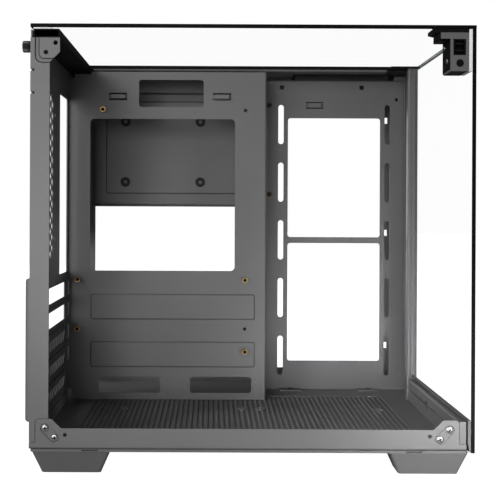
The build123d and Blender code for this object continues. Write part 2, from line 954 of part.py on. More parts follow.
def make_snap_socket():
    """Cup with two spring jaws, which the side panel's pin snaps between."""
    gap = 0.1
    x = (socket_from + gap, socket_to - gap)
    z = (socket_foot + gap, socket_top - gap)
    cup = span(x, (0, socket_deep - gap), z)
    cup -= span((x[0] + 1, x[1] - 1), (-1, socket_deep - 1.2), (z[0] + 1, z[1] - 1))
    for foot in (z[0] + 2.4, z[1] - 4.1):
        cup += span((x[0] + 1.6, x[1] - 1.6), (0.6, socket_deep - 0.5), (foot, foot + 1.6))
    return cup


def make_glass_plates():
    """Metal plates under the two front corners of the top glass, bonded to it."""
    near = outline(
        (plate_from, 0), (block_to, 0), (block_to, plate_deep), (block_from, plate_deep),
        (plate_from, plate_deep - (block_from - plate_from)),
    )
    far = span((far_plate_from, front_inside), (far_plate_near, glass_depth), (top_rail_top, glass_under))
    plates = [upwards(near, block_top, glass_under), far]
    return Compound(children=plates)


def make_foam_pads():
    """Foam between the glass and what it rests on."""
    top = span((top_rail_from, top_rail_to - 6), (0, divide_depth - 4), (top_rail_top, glass_under))
    front = span((block_to, front_inside), (0, block_deep), (block_foot, glass_under))
    return Compound(children=[top, front])


# Rear chamber

def make_chamber_top():
    section = folded([
        (divide_depth + 14, glass_under - 2.2), (divide_depth, glass_under - 2.2),
        (divide_depth, height), (width, height), (width, column_top - 5),
    ], side=Side.RIGHT)
    roof = across_length(section, 0, length)
    low = (glass_under - 4, top_rail_top + clearance)
    fold = (divide_depth - 1, divide_depth + 16)
    roof -= [
        span((-1, top_rail_to + 0.5), fold, low),
        span((-1, tray_to + 1), (divide_depth + sheet, divide_depth + 16), low),
        span((300, length + 1), fold, low),
    ]
    vents = [
        Pos(36 + step * 9.0, (divide_depth + width) / 2) * Rot(0, 0, 90) * SlotOverall(56, 4)
        for step in range(16)
    ]
    roof -= upwards(vents, roof_under - 1, height + 1)
    holes = [
        Pos(power_at, controls_middle) * Circle(power_round + button_gap),
        Pos(reset_at, controls_middle) * Circle(reset_round + button_gap),
        Pos(jack_at, controls_middle) * Circle(jack_round),
        Pos(usb_c_at, controls_middle) * RectangleRounded(usb_c_wide, usb_c_deep, 1.5),
    ]
    for x in usb_places:
        holes.append(Pos(x, controls_middle) * Rectangle(usb_wide, usb_deep))
    roof -= upwards(holes, roof_under - 1, height + 1)
    for x in drive_screws:
        roof -= along_y(screw_hole, x, drive_top + 7, width - 2, width + 1)
    return roof


def make_chamber_front():
    """Front wall of the rear chamber, folded into the right-hand front column."""
    inner = width - sheet
    section = folded([
        (length, divide_depth + bend + clearance), (length, inner), (length - chamber_column, inner),
    ])
    wall = upwards(section, pan_under, roof_under)
    for foot, top in ((pan_under - 1, column_foot), (roof_under - 1, height)):
        wall -= span((length - 20, length + 1), (inner - 3, width), (foot, top))
    x, z, slant = low_corners[1]
    for px, pz in pair_places(x, z, slant):
        wall -= along_y(screw_hole, px, pz, inner - 4, width + 1)
    for z in chamber_slots:
        wall -= span((length - 19, length - 14), (inner - 3, width), (z - lock_half, z + lock_half))
    return wall


def make_drive_plate():
    section = folded([
        (drive_depth - 6, drive_foot), (drive_depth, drive_foot), (drive_depth, drive_top),
        (width - 2 * sheet, drive_top), (width - 2 * sheet, drive_top + 12),
    ], side=Side.RIGHT)
    plate = across_length(section, drive_from, drive_to)
    rail_room = (column_top - clearance, drive_top + 13)
    plate -= span((0, top_rail_to + clearance), (drive_depth + 2, width), rail_room)
    rim = window(drive_from + 10.8, drive_to - 10.8, drive_foot + 12, drive_top - 8, 3)
    plate = pressed(plate, rim, drive_depth)
    for x, z in drive_places():
        plate -= along_y(grommet_round - 1.4, x, z, drive_depth - 3, drive_depth + 3)
    hook_floor = drive_depth - emboss_high + sheet / 2
    plate -= across_depth(Pos(*hook_mark) * Rectangle(3, 3), drive_depth - 3, hook_floor)
    for x in drive_screws:
        plate -= along_y(screw_hole, x, drive_top + 7, width - 3, width)
    return plate


def drive_places():
    """Screw places of a standard 2.5 inch drive."""
    return [
        (drive_first + x, drive_row + z)
        for x in (0, drive_across)
        for z in (0, drive_tall)
    ]


def make_drive_grommets():
    """Rubber rings with a waist that sits in the plate."""
    face = drive_depth - emboss_high
    waist = grommet_round - 1.5
    half = outline(
        (grommet_bore, -1.4), (grommet_round, -1.4), (grommet_round, 0), (waist, 0),
        (waist, sheet), (grommet_round, sheet), (grommet_round, sheet + 1.4),
        (grommet_bore, sheet + 1.4),
    )
    ring = revolve(Plane.XY * half, Axis.Y)
    rings = [Pos(x, face, z) * ring for x, z in drive_places()]
    return Compound(children=rings)


# Controls

def make_controls_housing():
    """Moulded housing of the switches and sockets, hung under the top."""
    body = span(
        (controls_from, controls_to), (controls_near, controls_far),
        (roof_under - controls_deep, roof_under),
    )
    body = fillet(body.edges().filter_by(Axis.Z), 2.0)
    y = controls_middle
    for x, radius in ((power_at, power_round), (reset_at, reset_round)):
        body -= along_z(radius + button_gap, x, y, roof_under - button_deep, roof_under + 1)
    body -= along_z(jack_round, jack_at, y, roof_under - socket_room, roof_under + 1)
    usb_c = Pos(usb_c_at, y) * RectangleRounded(usb_c_wide, usb_c_deep, 1.5)
    body -= upwards(usb_c, roof_under - socket_room, roof_under + 1)
    for x in usb_places:
        room = Pos(x, y) * Rectangle(usb_wide, usb_deep)
        body -= upwards(room, roof_under - socket_room, roof_under + 1)
    return body


def make_button(x, radius):
    """Round cap on a stem: below it stays the room that it travels."""
    cap = along_z(radius, x, controls_middle, roof_under - button_deep + 3.5, height - 0.2)
    cap = chamfer(cap.faces().sort_by(Axis.Z)[-1].edges(), 0.3)
    stem_foot = roof_under - button_deep + button_travel + clearance
    return cap + along_z(radius / 2, x, controls_middle, stem_foot, height - 2)


def make_usb_shells():
    group = []
    for x in usb_places:
        outer = Pos(x, controls_middle) * Rectangle(usb_wide, usb_deep)
        inner = offset(outer, -usb_wall)
        shell = upwards(outer, roof_under - socket_room, roof_under + sheet)
        group.append(shell - upwards(inner, roof_under - socket_room + 1, height + 1))
    return Compound(children=group)


def make_usb_tongues():
    group = []
    for x in usb_places:
        tongue = Pos(x, controls_middle + 1.2) * Rectangle(usb_wide - 2.4, 1.8)
        group.append(upwards(tongue, roof_under - socket_room + 1, height - 1.5))
    return Compound(children=group)


def make_usb_c_socket():
    place = Pos(usb_c_at, controls_middle)
    shell = upwards(
        place * RectangleRounded(usb_c_wide, usb_c_deep, 1.5), roof_under - socket_room, height
    )
    room = place * RectangleRounded(usb_c_wide - 0.7, usb_c_deep - 0.7, 1.2)
    shell -= upwards(room, roof_under - socket_room + 1, height + 1)
    tongue = place * Rectangle(usb_c_wide - 2.4, 0.7)
    return shell + upwards(tongue, roof_under - socket_room + 0.5, height - 1)


def make_audio_jack():
    foot = roof_under - socket_room
    ring = along_z(jack_round, jack_at, controls_middle, foot, height)
    return ring - along_z(jack_bore, jack_at, controls_middle, foot + 1, height + 1)


# Fasteners

def make_corner_screws():
    """Two screws in each lower corner, on both sides."""
    screw = headed_screw(corner_head, corner_head_high, 3.2)
    group = []
    for x, z, slant in low_corners:
        for px, pz in pair_places(x, z, slant):
            near = facing_left(screw, px, recess_deep, pz)
            group += [near, mirrored_right(near)]
    return Compound(children=group)


def make_block_screws():
    screw = headed_screw(2.0, 0.9, 1.8)
    places = [
        Pos(block_from, depth, z) * Rot(0, -90, 0) * screw for depth, z in block_screw_places
    ]
    return Compound(children=places)


def make_bracket_screws():
    """Screws through the side bracket: two in the tray's flange, two in the floor."""
    screw = headed_screw(2.6, 1.2, 3.5)
    group = [
        facing_left(screw, bracket_screw_at, bracket_depth, z) for z in bracket_screw_heights
    ]
    short = headed_screw(2.6, 1.2, 1.9)
    depth = bracket_depth - foot_screw_inset
    group += [Pos(x, depth, floor + sheet) * short for x in bracket_foot_screws]
    return Compound(children=group)


def make_drive_screws():
    screw = headed_screw(2.8, 1.2, 1.9)
    heads = [
        facing_left(screw, x, width - 2 * sheet, drive_top + 7) for x in drive_screws
    ]
    return Compound(children=heads)


def make_slot_cover_screws():
    screw = headed_screw(2.8, 1.6, 3.0)
    heads = [
        facing_left(screw, -shelf_out / 2, slot_near + clearance, slot_height(number))
        for number in range(open_slots, slot_count)
    ]
    return Compound(children=heads)


def make_thumb_screws():
    """Knurled screw in the rear wall: flats around its head give the grip."""
    grip = RegularPolygon(thumb_round, 24)
    head = extrude(grip, thumb_long - 1.2)
    head = Pos(0, 0, 1.2) * chamfer(head.faces().sort_by(Axis.Z)[-1].edges(), 0.5)
    head += Cylinder(thumb_round - 1.0, 1.2, align=(Align.CENTER, Align.CENTER, Align.MIN))
    head += Pos(0, 0, -4) * Cylinder(screw_shank, 4.5, align=(Align.CENTER, Align.CENTER, Align.MIN))
    near = Pos(0, thumb_depth, thumb_height) * Rot(0, -90, 0) * head
    return Compound(children=[near, mirrored_right(near)])


def make_feet():
    feet = {}
    for end, x in (("rear", foot_inset_rear), ("front", length - foot_inset_front - foot_long)):
        foot, tread = make_foot(x, foot_inset_side)
        feet["foot_" + end + "_left"] = foot
        feet["foot_" + end + "_right"] = mirrored_right(foot)
        pads = feet.get("foot_pads", [])
        feet["foot_pads"] = pads + [tread, mirrored_right(tread)]
    feet["foot_pads"] = Compound(children=feet["foot_pads"])
    return feet


parts = {
    "base_pan": make_base_pan(),
    "bottom_cover": make_bottom_cover(),
    "filter_mesh": make_filter_mesh(),
    "rear_panel": make_rear_panel(),
    "slot_shroud": make_slot_shroud(),
    "rear_top_rail": make_rear_top_rail(),
    "corner_bracket": make_corner_bracket(),
    "motherboard_tray": make_tray(),
    "standoffs": make_standoffs(),
    "side_fan_bracket": make_fan_bracket(),
    "front_post": make_front_post(),
    "front_bottom_rail": make_front_bottom_rail(),
    "rail_clip": make_rail_clip(),
    "glass_lower_strip": make_lower_strip(),
    "front_glass": make_front_glass(),
    "top_glass": make_top_glass(),
    "corner_block": make_corner_block(),
    "snap_socket": make_snap_socket(),
    "glass_plates": make_glass_plates(),
    "foam_pads": make_foam_pads(),
    "chamber_top": make_chamber_top(),
    "chamber_front": make_chamber_front(),
    "drive_plate": make_drive_plate(),
    "drive_grommets": make_drive_grommets(),
    "drive_screws": make_drive_screws(),
    "controls_housing": make_controls_housing(),
    "power_button": make_button(power_at, power_round),
    "reset_button": make_button(reset_at, reset_round),
    "usb_shells": make_usb_shells(),
    "usb_tongues": make_usb_tongues(),
    "usb_c_socket": make_usb_c_socket(),
    "audio_jack": make_audio_jack(),
    "corner_screws": make_corner_screws(),
    "block_screws": make_block_screws(),
    "bracket_screws": make_bracket_screws(),
    "slot_cover_screws": make_slot_cover_screws(),
    "thumb_screws": make_thumb_screws(),
}
parts.update(make_feet())
for number in range(open_slots, slot_count):
    parts["slot_cover_" + str(number + 1)] = make_slot_cover(number)

to_middle = Pos(-(length - rear_overhang) / 2, -width / 2, 0)
os.makedirs("parts", exist_ok=True)
for name, part in parts.items():
    export_step(to_middle * part, "parts/" + name + ".step")
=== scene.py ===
import json
from math import cos, pi, radians, sin

import bmesh
import bpy
from mathutils import Matrix, Vector


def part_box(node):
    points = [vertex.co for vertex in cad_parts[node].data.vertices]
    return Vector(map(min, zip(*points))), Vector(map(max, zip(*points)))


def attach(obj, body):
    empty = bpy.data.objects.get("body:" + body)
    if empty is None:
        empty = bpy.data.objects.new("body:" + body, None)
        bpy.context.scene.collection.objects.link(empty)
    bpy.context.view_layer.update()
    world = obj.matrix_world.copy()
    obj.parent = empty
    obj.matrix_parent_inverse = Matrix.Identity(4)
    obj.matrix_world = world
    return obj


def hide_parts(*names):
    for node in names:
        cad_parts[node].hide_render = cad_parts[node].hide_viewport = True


# Looks of the mini-tower computer case: a material for every node of the frame, clear glass with
# dark ground edges, screws and rings in fine shape, thin dark pieces that stand in for gaps and
# shadow, and soft studio light. Lengths are in metres.

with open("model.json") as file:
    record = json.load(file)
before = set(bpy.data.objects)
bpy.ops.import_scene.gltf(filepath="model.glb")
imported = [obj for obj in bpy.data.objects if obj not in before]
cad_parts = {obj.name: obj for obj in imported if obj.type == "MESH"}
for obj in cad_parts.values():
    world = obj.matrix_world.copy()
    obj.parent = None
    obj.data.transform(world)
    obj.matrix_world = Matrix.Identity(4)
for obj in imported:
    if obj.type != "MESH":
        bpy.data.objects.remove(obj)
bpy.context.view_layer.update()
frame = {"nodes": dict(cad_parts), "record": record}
nodes = frame["nodes"]

# Camera, placed from the photograph's perspective: level in degrees, roll in radians, lens and
# sensor in millimetres
camera_place = (-0.025, -0.865, 0.1943)
camera_level = 90
camera_roll = -0.0045
camera_lens = 70.46
camera_sensor = 36.0
camera_shift = (0.076, -0.0755)

# Lamps: name, place, target, size, power and spread in degrees
lamps = (
    ("key", (-1.2, -2.4, 0.6), (0, 0, 0.15), (1.6, 1.4), 30, 180),
    ("front", (-0.35, -2.7, 0.3), (0, 0, 0.15), (0.8, 0.8), 15, 180),
    ("high_left", (-1.6, -0.6, 1.5), (0.1, 0, 0.05), (0.7, 0.7), 18, 180),
    ("low_left", (-0.5, -0.6, 0.32), (0.14, 0.02, 0.05), (0.1, 0.1), 0.085, 24),
    ("right_end", (0.22, -0.4, 0.03), (0.15, -0.145, 0.02), (0.12, 0.12), 0.16, 60),
    ("behind", (-1.5, 2.3, 0.25), (0, 0, 0.15), (1.2, 0.4), 20, 180),
    ("above", (-0.2, 0.8, 2.6), (0, 0, 0.1), (1.0, 1.0), 9, 180),
    ("ahead", (1.9, 2.1, 0.4), (0, 0.1, 0.15), (1.0, 0.6), 6, 180),
)

# Floor and surroundings: white to the camera, dim as light
world_seen = 1.0
world_light = 0.05
floor_glow = 1.0
floor_light = 0.03
floor_sides = 96
floor_radius = 9.0
floor_clouds = 2.0
floor_lighter = 1.03
floor_roughness = 0.9

# Colours, linear
steel_grey = (0.118, 0.118, 0.12)
plastic_grey = (0.1, 0.1, 0.102)
black = (0.012, 0.012, 0.013)
# Deep black, also the colour of painted shade in slits, holes, under the roof and on the corner block
deep = (0.0048, 0.0048, 0.0052)
plated = (0.36, 0.36, 0.375)
blackened = (0.05, 0.05, 0.052)
brass = (0.42, 0.29, 0.13)
old_brass = (0.12, 0.085, 0.05)
glass_edge = (0.0015, 0.002, 0.002)
bond_grey = (0.55, 0.61, 0.64)
foam_white = (0.9, 0.91, 0.92)
filter_grey = (0.14, 0.14, 0.145)
skin_grey = (0.13, 0.13, 0.135)
glass_tint = (0.92, 0.96, 0.95)
floor_white = (0.4, 0.4, 0.4)
white = (1, 1, 1, 1)

# Finishes: how strongly they shine, and how their grain mixes with broad clouds
full_gloss = 0.5
dull = 0.08
grain_detail = 3.0
grain_share = 0.55
cloud_scale = 14.0
cloud_share = 0.45
ramp_low = 0.3
ramp_high = 0.7
relief_depth = 0.0002

# Glass
glass_ior = 1.5
glass_alpha = 0.02
glass_roughness = (0.02, 0.06)
smear_scale = 9.0
smear_detail = 4.0
smear_darker = 0.92
ground_edge = 0.0004
ground_steps = 2
ground_round = 0.5
facing = 0.9
flat = 0.99

# Nodes that the photograph shows almost black, given deep black: on the rear top rail this black is
# painted shade
black_and_shaded_nodes = ("glass_plates", "snap_socket", "rear_top_rail")

# Places of small pieces, ahead of the middle, behind the middle and above the ground
corner_screw_places = (
    (-0.14709, 0.03444), (-0.14001, 0.02736), (0.14431, 0.02736), (0.15139, 0.03444),
)
corner_screw_foot = 0.1444
thumb_screw_foot = -0.15915
thumb_screw_sides = (-0.138, 0.138)
thumb_screw_height = 0.3169
standoff_places = (
    (-0.12589, 0.03665, 0.28908), (-0.14875, 0.03665, 0.1316), (0.00619, 0.03665, 0.1316),
    (-0.14875, 0.03665, 0.08588), (0.00619, 0.03525, 0.0655),
)
bracket_screw_places = ((0.03175, 0.1, 0.2123), (0.03175, 0.1, 0.3002))
bracket_foot_places = ((0.05315, 0.095, 0.0212), (0.12925, 0.095, 0.0212))
drive_screw_places = ((-0.10915, 0.143, 0.323), (-0.01715, 0.143, 0.323))
block_screw_places = ((0.15055, -0.1261, 0.319), (0.15055, -0.1354, 0.3078))
slot_screw_places = tuple((-0.16345, -0.0887, z) for z in (0.08336, 0.06304, 0.04272))
grommet_places = tuple(
    (x, 0.1368, z) for x in (-0.1134, -0.0368) for z in (0.2251, 0.28682)
)
block_hole = (0.15785, -0.1438, 0.3052)
blind_hole = (0.00619, 0.0441, 0.08588)

# Screws: radius and height of the head, radius and length of the shank
corner_screw = (0.0028, 0.0009, 0.0015, 0.0028)
bracket_screw = (0.0026, 0.0012, 0.0015, 0.0019)
drive_screw = (0.0028, 0.0012, 0.0015, 0.0019)
block_screw = (0.002, 0.0009, 0.0015, 0.0018)
slot_screw = (0.0028, 0.0016, 0.0015, 0.003)

# A screw's domed head and its cross recess, as shares of the head's radius and height
dome = ((0.96, 0), (1, 0.18), (0.97, 0.45), (0.8, 0.8), (0.45, 0.97), (0, 1))
recess_reach = 0.66
recess_wide = 0.33
recess_deep = 0.8
recess_foot_reach = 0.35
recess_foot_wide = 0.7
recess_over = 0.1
recess_shade = (0.6, 0.75)

# Small pieces stand at angles that differ by place: the first, and the rise along and upwards
spin_start = 0.3
spin_along = 40
spin_up = 25

# Outlines of turned pieces, as radius and height
turned_steps = 32
sharp_angle = 35
thumb_screw_outline = (
    (0, -0.004), (0.0015, -0.004), (0.0015, 0), (0.0033, 0), (0.0033, 0.0012), (0.0041, 0.0013),
    (0.00435, 0.0017), (0.00435, 0.0061), (0.004, 0.0066), (0.0028, 0.0068), (0, 0.0068),
)
thumb_screw_steps = 96
thumb_screw_ripple = 0.06
standoff_tall = 0.00635
standoff_sides = 6
standoff_outline = (
    (0, 0), (0.00288, 0), (0.00288, 0.006), (0.00262, standoff_tall), (0, standoff_tall),
)
standoff_bore = (
    (0, 0.001), (0.00135, 0.001), (0.00135, 0.0057), (0.002, 0.0064), (0.002, 0.007), (0, 0.007),
)
standoff_shade = (0.0015, 0.0005, 0.007)
grommet_outline = (
    (0, -0.0008), (0.0019, -0.0008), (0.0019, -0.0024), (0.0049, -0.0024), (0.0049, -0.001),
    (0.0034, -0.001), (0.0034, 0), (0.0049, 0), (0.0049, 0.001), (0.0045, 0.0014),
    (0.0023, 0.0014), (0.0019, 0.001), (0.0019, 0.0002), (0.0007, 0.0002), (0.0005, 0.0005),
    (0, 0.0006),
)
grommet_shade = (0.0019, -0.001, 0.001)
plug_outline = ((0, 0), (0.0028, 0), (0.0028, 0.002), (0, 0.002))
back_outline = ((0, 0), (0.0026, 0), (0.0026, 0.0006), (0, 0.0006))
back_steps = 24

# Corners of the thin dark blocks: a dust filter under the roof whose black is painted shade, painted
# shadow in the slits at a strap, and painted shade on the corner block
# Dust filter under the roof, deep black as painted shade on the roof's underside
roof_filter_shade_box = ((-0.13, 0.073, 0.3315), (0.019, 0.135, 0.332))
# Painted shadow: thin black strips where the strap's slits would be dark
tie_slit_shadow_boxes = tuple(
    ((0.0678, 0.0999, z - 0.0005), (0.0848, 0.1, z + 0.0005)) for z in (0.2976, 0.3032)
)
# Painted shade: thin black skins on the corner block's sides, underside and step
block_shade_boxes = (
    ((0.15045, -0.1449, 0.3003), (0.15055, -0.1211, 0.3231)),
    ((0.1516, -0.1449, 0.2991), (0.1634, -0.1211, 0.2992)),
    ((0.14345, -0.1449, 0.323), (0.15045, -0.1211, 0.3231)),
    ((0.14335, -0.1449, 0.3231), (0.14345, -0.1211, 0.3276)),
)

# Painted shadow lines where the plate over the rear column steps: rear edge, foot, front end and
# rounding of each
step_lines = ((-0.15555, 0.3044, -0.1449, 0.0048), (-0.15275, 0.3072, -0.1422, 0.0036))
step_line_top = 0.3222
step_line_wide = 0.0006
step_line_depth = -0.14506
ribbon_flatness = 10
arc_steps = 8


# Materials

def shader(name):
    """A new node material with its tree and its shader."""
    made = bpy.data.materials.new(name)
    made.use_nodes = True
    return made, made.node_tree, made.node_tree.nodes["Principled BSDF"]


def add(tree, kind, values=None, **settings):
    """A node of one kind, with values for its inputs and settings of its own."""
    node = tree.nodes.new(kind)
    for name, value in settings.items():
        setattr(node, name, value)
    for name, value in (values or {}).items():
        node.inputs[name].default_value = value
    return node


def object_noise(tree, scale, detail=2.0):
    """Noise fixed to the piece, with its scale in waves per metre."""
    place = add(tree, "ShaderNodeTexCoord")
    noise = add(tree, "ShaderNodeTexNoise", {"Scale": scale, "Detail": detail})
    tree.links.new(place.outputs["Object"], noise.inputs["Vector"])
    return noise.outputs["Fac"]


def between(tree, source, low, high):
    """Turns a value from 0 to 1 into one between two limits."""
    node = add(tree, "ShaderNodeMapRange", {"To Min": low, "To Max": high})
    tree.links.new(source, node.inputs["Value"])
    return node.outputs["Result"]


def tinted(tree, source, dark, light):
    """Blends two colours by a value."""
    ramp = add(tree, "ShaderNodeValToRGB")
    stops = ramp.color_ramp.elements
    for stop, position, colour in ((stops[0], ramp_low, dark), (stops[1], ramp_high, light)):
        stop.position = position
        stop.color = (*colour, 1)
    tree.links.new(source, ramp.inputs["Fac"])
    return ramp.outputs["Color"]


def scaled(colour, factor):
    """A colour made darker or lighter."""
    return tuple(channel * factor for channel in colour)


def raised(tree, shade, source, strength, distance):
    """Gives the shader fine relief from a value."""
    bump = add(tree, "ShaderNodeBump", {"Strength": strength, "Distance": distance})
    tree.links.new(source, bump.inputs["Height"])
    tree.links.new(bump.outputs["Normal"], shade.inputs["Normal"])


def grained(name, colour, grain, roughness, spread, relief, metallic=0.0, gloss=full_gloss):
    """A finish whose colour, gloss and relief vary with its grain, and its colour with broad clouds."""
    made, tree, shade = shader(name)
    fine = object_noise(tree, grain, grain_detail)
    broad = object_noise(tree, cloud_scale)
    mix = add(tree, "ShaderNodeMath", operation="MULTIPLY_ADD")
    mix.inputs[1].default_value = grain_share
    tree.links.new(fine, mix.inputs[0])
    tree.links.new(between(tree, broad, 0.0, cloud_share), mix.inputs[2])
    dark, light = scaled(colour, 1 - spread), scaled(colour, 1 + spread)
    tree.links.new(tinted(tree, mix.outputs["Value"], dark, light), shade.inputs["Base Color"])
    tree.links.new(between(tree, fine, *roughness), shade.inputs["Roughness"])
    raised(tree, shade, fine, relief, relief_depth)
    shade.inputs["Metallic"].default_value = metallic
    shade.inputs["Specular IOR Level"].default_value = gloss
    return made


def clear_glass():
    """Glass so clear that it mostly shows by its gloss, with faint smears."""
    made, tree, shade = shader("clear_glass")
    shade.inputs["IOR"].default_value = glass_ior
    shade.inputs["Alpha"].default_value = glass_alpha
    smear = object_noise(tree, smear_scale, smear_detail)
    tint = tinted(tree, smear, scaled(glass_tint, smear_darker), glass_tint)
    tree.links.new(tint, shade.inputs["Base Color"])
    tree.links.new(between(tree, smear, *glass_roughness), shade.inputs["Roughness"])
    return made


painted_steel = grained(
    "painted_steel", steel_grey, grain=2600.0, roughness=(0.38, 0.5), spread=0.07, relief=0.12
)
cover_plastic = grained(
    "cover_plastic", plastic_grey, grain=1800.0, roughness=(0.45, 0.6), spread=0.08, relief=0.2
)
black_plastic = grained(
    "black_plastic", black, grain=1500.0, roughness=(0.4, 0.55), spread=0.2, relief=0.15
)
plated_steel = grained(
    "plated_steel", plated, grain=700.0, roughness=(0.22, 0.38), spread=0.12, relief=0.06, metallic=1.0
)
turned_brass = grained(
    "brass", brass, grain=900.0, roughness=(0.25, 0.4), spread=0.12, relief=0.05, metallic=1.0
)
rubber = grained(
    "rubber", black, grain=1200.0, roughness=(0.6, 0.8), spread=0.3, relief=0.25
)
foam = grained(
    "foam", foam_white, grain=1500.0, roughness=(0.8, 0.95), spread=0.2, relief=0.5
)
filter_cloth = grained(
    "filter", filter_grey, grain=2200.0, roughness=(0.7, 0.9), spread=0.4, relief=0.6
)
dark_edge = grained(
    "glass_edge", glass_edge, grain=800.0, roughness=(0.5, 0.65), spread=0.3, relief=0.04, gloss=dull
)
bonded_edge = grained(
    "bonded_edge", bond_grey, grain=600.0, roughness=(0.4, 0.6), spread=0.1, relief=0.05
)
blackened_steel = grained(
    "blackened_steel", blackened, grain=900.0, roughness=(0.3, 0.45), spread=0.2, relief=0.06,
    metallic=0.6
)
dull_brass = grained(
    "dull_brass", old_brass, grain=900.0, roughness=(0.35, 0.5), spread=0.2, relief=0.06, metallic=0.7
)
thread_shade = grained(
    "thread_shade", black, grain=1200.0, roughness=(0.6, 0.8), spread=0.3, relief=0.3, gloss=dull
)
rubber_skin = grained(
    "rubber_skin", skin_grey, grain=1200.0, roughness=(0.5, 0.7), spread=0.2, relief=0.2
)
# Deep black finish, mostly used as painted shade
deep_black = grained(
    "deep_black", deep, grain=1500.0, roughness=(0.5, 0.65), spread=0.2, relief=0.15, gloss=dull
)
clear = clear_glass()

# The record's material slots and their finishes
finishes = {
    "painted_steel": painted_steel,
    "cover_plastic": cover_plastic,
    "black_plastic": black_plastic,
    "plated_steel": plated_steel,
    "brass": turned_brass,
    "rubber": rubber,
    "foam": foam,
    "filter": filter_cloth,
    "clear_glass": clear,
}
for entry in frame["record"]["subparts"]:
    slots = nodes[entry["node"]].data.materials
    slots.clear()
    slots.append(finishes[entry["material_slot"]])
# Deep black on these nodes, painted shade on the rear top rail
for name in black_and_shaded_nodes:
    nodes[name].data.materials[0] = deep_black


# Shapes

def finished(name, shape):
    """The mesh of a shape, which is freed."""
    mesh = bpy.data.meshes.new(name)
    shape.to_mesh(mesh)
    shape.free()
    return mesh


def piece(name, mesh, finish, body="case"):
    """Puts a mesh in the scene as a piece that rides on a body."""
    made = bpy.data.objects.new(name, mesh)
    bpy.context.scene.collection.objects.link(made)
    if finish not in list(mesh.materials):
        mesh.materials.append(finish)
    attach(made, body)
    return made


def box_shape(low, high):
    """A block between two corners, as a shape still open to change."""
    shape = bmesh.new()
    bmesh.ops.create_cube(shape, size=1.0)
    bmesh.ops.scale(shape, vec=high - low, verts=shape.verts)
    bmesh.ops.translate(shape, vec=(high + low) / 2, verts=shape.verts)
    return shape


def glass_pane(name, node, bonded):
    """A clear pane with ground, dark edges in the place of a node: one side is bonded."""
    low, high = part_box(node)
    shape = box_shape(low, high)
    size = high - low
    thin = min(range(3), key=lambda axis: size[axis])
    sharp = [
        edge for edge in shape.edges
        if abs(edge.verts[0].co[thin] - edge.verts[1].co[thin]) < size[thin] / 2
    ]
    bmesh.ops.bevel(
        shape, geom=sharp, offset=ground_edge, segments=ground_steps, profile=ground_round,
        affect="EDGES"
    )
    shape.normal_update()
    for face in shape.faces:
        if face.normal.dot(Vector(bonded)) > facing:
            face.material_index = 2
        elif abs(face.normal[thin]) < flat:
            face.material_index = 1
    mesh = finished(name, shape)
    for finish in (clear, dark_edge, bonded_edge):
        mesh.materials.append(finish)
    pane = piece(name, mesh, clear)
    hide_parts(node)


def lathe(profile, steps=turned_steps, ripple=0.0):
    """A closed mesh turned around Z from points of radius and height: a ripple makes it knurled."""
    shape = bmesh.new()
    turn = 2 * pi / steps
    rings = []
    for radius, height in profile:
        if radius == 0:
            rings.append([shape.verts.new((0, 0, height))])
            continue
        widths = [radius * (1 - ripple * (k % 2)) for k in range(steps)]
        rings.append([
            shape.verts.new((wide * cos(k * turn), wide * sin(k * turn), height))
            for k, wide in enumerate(widths)
        ])
    for below, above in zip(rings, rings[1:]):
        for k in range(steps):
            after = (k + 1) % steps
            corners = [
                below[k % len(below)], below[after % len(below)],
                above[after % len(above)], above[k % len(above)],
            ]
            unique = list(dict.fromkeys(corners))
            shape.faces.new(unique)
    bmesh.ops.recalc_face_normals(shape, faces=shape.faces)
    return finished("turned", shape)


def cut_from(mesh, tool):
    """The mesh with a tool's shape taken out of it."""
    body = bpy.data.objects.new("cut_body", mesh)
    cutter = bpy.data.objects.new("cut_tool", tool)
    for made in (body, cutter):
        bpy.context.scene.collection.objects.link(made)
    change = body.modifiers.new("cut", "BOOLEAN")
    change.operation = "DIFFERENCE"
    change.solver = "EXACT"
    change.object = cutter
    view = bpy.context.evaluated_depsgraph_get()
    result = bpy.data.meshes.new_from_object(body.evaluated_get(view))
    for made in (body, cutter):
        bpy.data.objects.remove(made)
    return result


def wedge(reach, wide, deep, top, turn):
    """A block that tapers downwards, for one slot of a cross recess."""
    shape = bmesh.new()
    for vert in bmesh.ops.create_cube(shape, size=1.0)["verts"]:
        low = vert.co.z < 0
        vert.co = Vector((
            vert.co.x * 2 * reach * (recess_foot_reach if low else 1.0),
            vert.co.y * wide * (recess_foot_wide if low else 1.0),
            top - deep if low else top + recess_over * deep,
        ))
        vert.co.rotate(Matrix.Rotation(turn, 3, "Z"))
    return finished("wedge", shape)


def shade_inside(mesh, reach, low, high):
    """Gives the second finish to the faces near the axis between two heights."""
    for face in mesh.polygons:
        if face.center.to_2d().length < reach and low < face.center.z < high:
            face.material_index = 1
    return mesh


def screw_mesh(head, high, shank, long):
    """A domed screw with a cross recess, its head on the XY plane and its shank below."""
    profile = [(0, -long), (shank, -long), (shank, 0)]
    profile += [(head * out, high * up) for out, up in dome]
    mesh = lathe(profile)
    for turn in (0.0, pi / 2):
        slot = wedge(head * recess_reach, head * recess_wide, high * recess_deep, high, turn)
        mesh = cut_from(mesh, slot)
    reach, top = recess_shade
    return shade_inside(mesh, head * reach, 0, high * top)


def joined(name, mesh, places):
    """One mesh that holds a copy at each place."""
    shape = bmesh.new()
    for place in places:
        copy = mesh.copy()
        copy.transform(place)
        shape.from_mesh(copy)
    result = finished(name, shape)
    result.shade_smooth()
    result.set_sharp_from_angle(angle=radians(sharp_angle))
    return result


def turned_to(place, out):
    """Moves the XY plane to a place and turns its upper side to look out along an axis."""
    angle = spin_start + spin_along * place[0] + spin_up * place[2]
    spin = Matrix.Rotation(angle, 4, "Z")
    turn = Vector(out).to_track_quat("Z", "Y").to_matrix().to_4x4()
    return Matrix.Translation(place) @ turn @ spin


